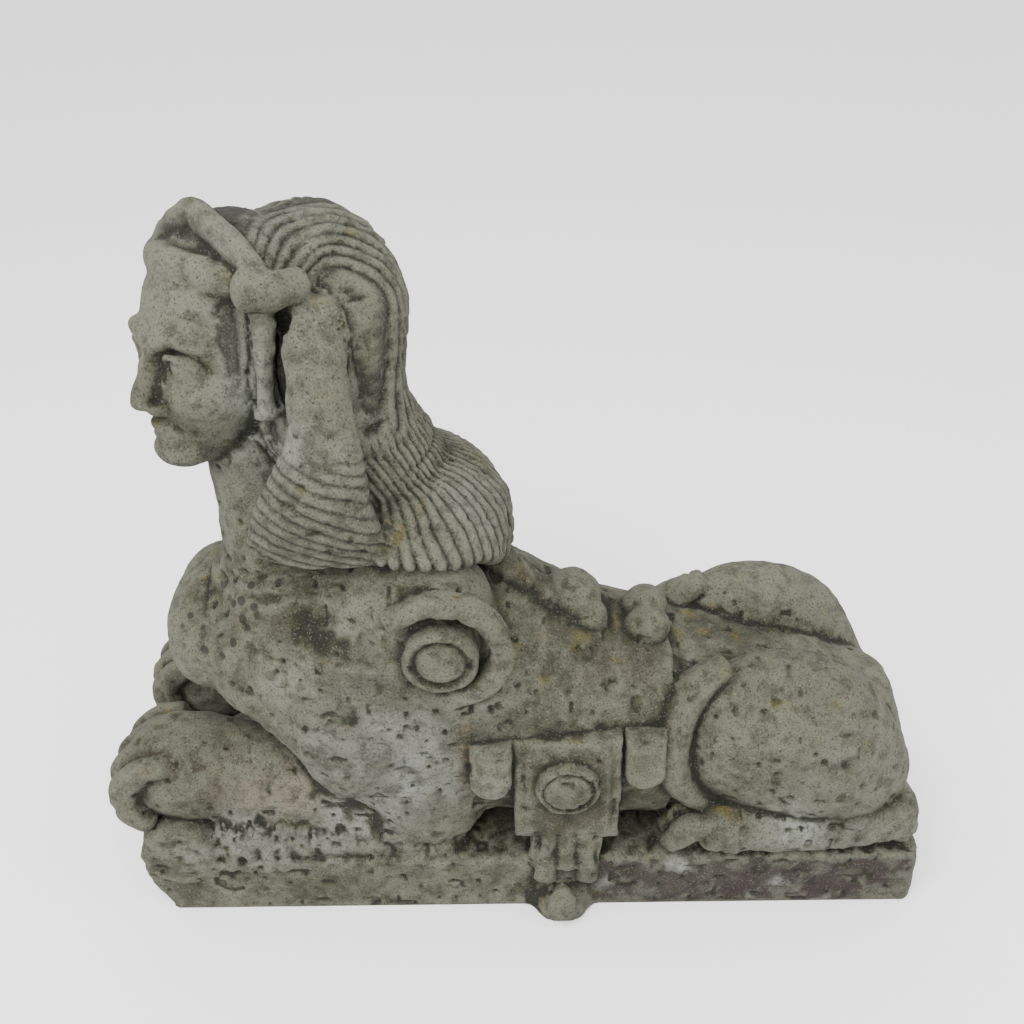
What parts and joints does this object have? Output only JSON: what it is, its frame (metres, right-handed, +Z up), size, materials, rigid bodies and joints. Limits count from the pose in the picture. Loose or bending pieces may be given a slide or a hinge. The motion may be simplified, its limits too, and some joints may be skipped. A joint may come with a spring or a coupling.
{
  "type": "sphinx statue",
  "caption": "Carved limestone garden sphinx lying on a low plinth, woman's head turned to its left, with fluted hair, shoulder scrolls and a tasselled saddlecloth.",
  "frame": {"origin": "middle of the plinth's underside between its two long sides, on the plane the statue stands on", "axes": "-X is the way the body faces, -Y is toward the figure's left flank, +Z is up"},
  "size_m": [0.9803, 0.37, 0.8355],
  "materials": {
    "stone": "weathered limestone, matt and pitted, with grey-green and white lichen, dark spots and moss in the hollows"
  },
  "bodies": {
    "root": {"sphinx_statue": "stone"}
  },
  "joints": []
}
